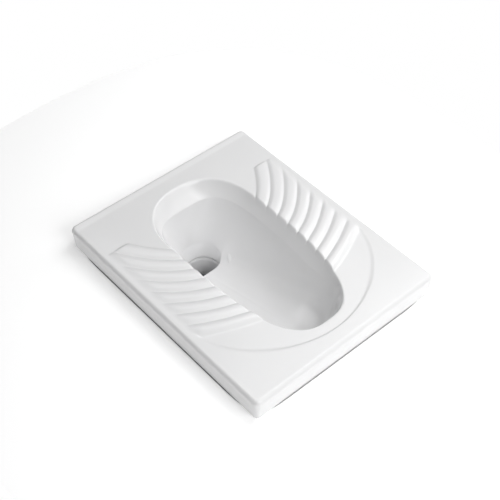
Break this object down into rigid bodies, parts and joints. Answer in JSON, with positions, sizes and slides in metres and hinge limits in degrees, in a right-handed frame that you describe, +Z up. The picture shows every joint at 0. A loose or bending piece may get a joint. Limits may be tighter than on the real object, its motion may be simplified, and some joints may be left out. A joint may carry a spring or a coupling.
{
  "type": "squat toilet",
  "caption": "Glazed squat pan on a short skirt, with ribbed footrests and a long bowl, over a water-seal trap with a swivelling elbow and a screw-capped cleaning eye.",
  "frame": {"origin": "middle of the skirt's underside, on the bedding plane that lies on the floor; the bowl's underside and the trap hang below it in the floor", "axes": "+Z up, +Y towards the end with the outlet (the rear), -Y towards the front, X across the slab"},
  "size_m": [0.466, 0.58, 0.443],
  "materials": {
    "glaze": "white gloss glaze, unglazed at the foot and on the spigot's end",
    "pipe_plastic": "satin moulded pipe fitting",
    "ring_plastic": "satin moulded",
    "rubber": "matte black"
  },
  "bodies": {
    "root": {"pan": "glaze", "outlet_gasket": "rubber", "gasket_ring": "ring_plastic", "trap_inlet_bend": "pipe_plastic", "trap_riser_bend": "pipe_plastic", "flush_seal": "rubber"},
    "swivel": {"swivel_elbow": "pipe_plastic", "swivel_seal": "rubber", "swivel_ring": "ring_plastic"},
    "cap_seal": {"cleaning_gasket": "rubber"},
    "cap": {"cleaning_cap": "ring_plastic"}
  },
  "joints": [
    {"name": "trap_swivel", "type": "hinge", "parent": "root", "child": "swivel", "pos_m": [0, 0.007, -0.25], "axis": [0, 0, 1], "range_deg": [-90, 90]},
    {"name": "cap_travel", "type": "slide", "parent": "root", "child": "cap_seal", "axis": [0, -1, 0], "range_m": [0, 0.0121]},
    {"name": "cap_turn", "type": "hinge", "parent": "cap_seal", "child": "cap", "pos_m": [0, -0.066, -0.328], "axis": [0, -1, 0], "range_deg": [0, 720]}
  ],
  "couplings": [
    {"joint": "cap_travel", "follows": "cap_turn", "m_per_rad": 0.00095493}
  ]
}
